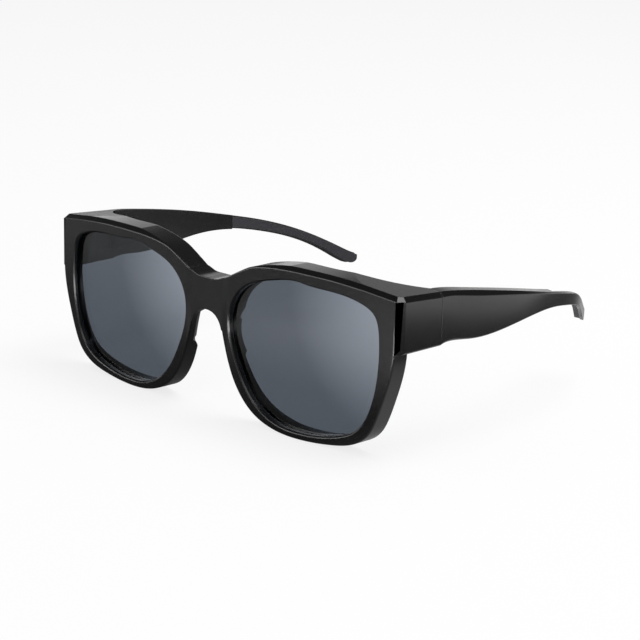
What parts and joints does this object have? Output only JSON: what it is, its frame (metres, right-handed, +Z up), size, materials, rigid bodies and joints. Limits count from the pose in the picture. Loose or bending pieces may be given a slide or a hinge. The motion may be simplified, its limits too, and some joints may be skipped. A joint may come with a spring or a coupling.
{
  "type": "fitover sunglasses",
  "caption": "Fitover sunglasses with a deep moulded front, grey tinted lenses, folding temples on screw hinges and soft grips inside the temple tips.",
  "frame": {"origin": "on the middle plane, halfway from the front of the face to the temple tips, at the height of the lowest point of the rims", "axes": "+X to the wearer's left, -Y the way the wearer looks, +Z up"},
  "size_m": [0.1528, 0.118, 0.0517],
  "materials": {
    "frame_plastic": "glossy charcoal black",
    "temple_plastic": "glossy charcoal black",
    "tinted_lens": "polished grey tint, see-through",
    "grip_rubber": "soft matt dark grey",
    "hinge_steel": "black-coated steel",
    "screw_steel": "dark stainless steel"
  },
  "bodies": {
    "front": {"front_frame": "frame_plastic", "left_lens": "tinted_lens", "left_front_hinge_leaf": "hinge_steel", "left_hinge_screw": "screw_steel", "left_front_rivets": "screw_steel", "right_lens": "tinted_lens", "right_front_hinge_leaf": "hinge_steel", "right_hinge_screw": "screw_steel", "right_front_rivets": "screw_steel"},
    "left_temple_arm": {"left_temple": "temple_plastic", "left_temple_grip": "grip_rubber", "left_temple_hinge_leaf": "hinge_steel", "left_temple_rivets": "screw_steel"},
    "right_temple_arm": {"right_temple": "temple_plastic", "right_temple_grip": "grip_rubber", "right_temple_hinge_leaf": "hinge_steel", "right_temple_rivets": "screw_steel"}
  },
  "joints": [
    {"name": "left_temple_hinge", "type": "hinge", "parent": "front", "child": "left_temple_arm", "pos_m": [0.0685, -0.03625, 0.04035], "axis": [0, 0, 1], "range_deg": [0, 87]},
    {"name": "right_temple_hinge", "type": "hinge", "parent": "front", "child": "right_temple_arm", "pos_m": [-0.0685, -0.03625, 0.04035], "axis": [0, 0, -1], "range_deg": [0, 80]}
  ]
}
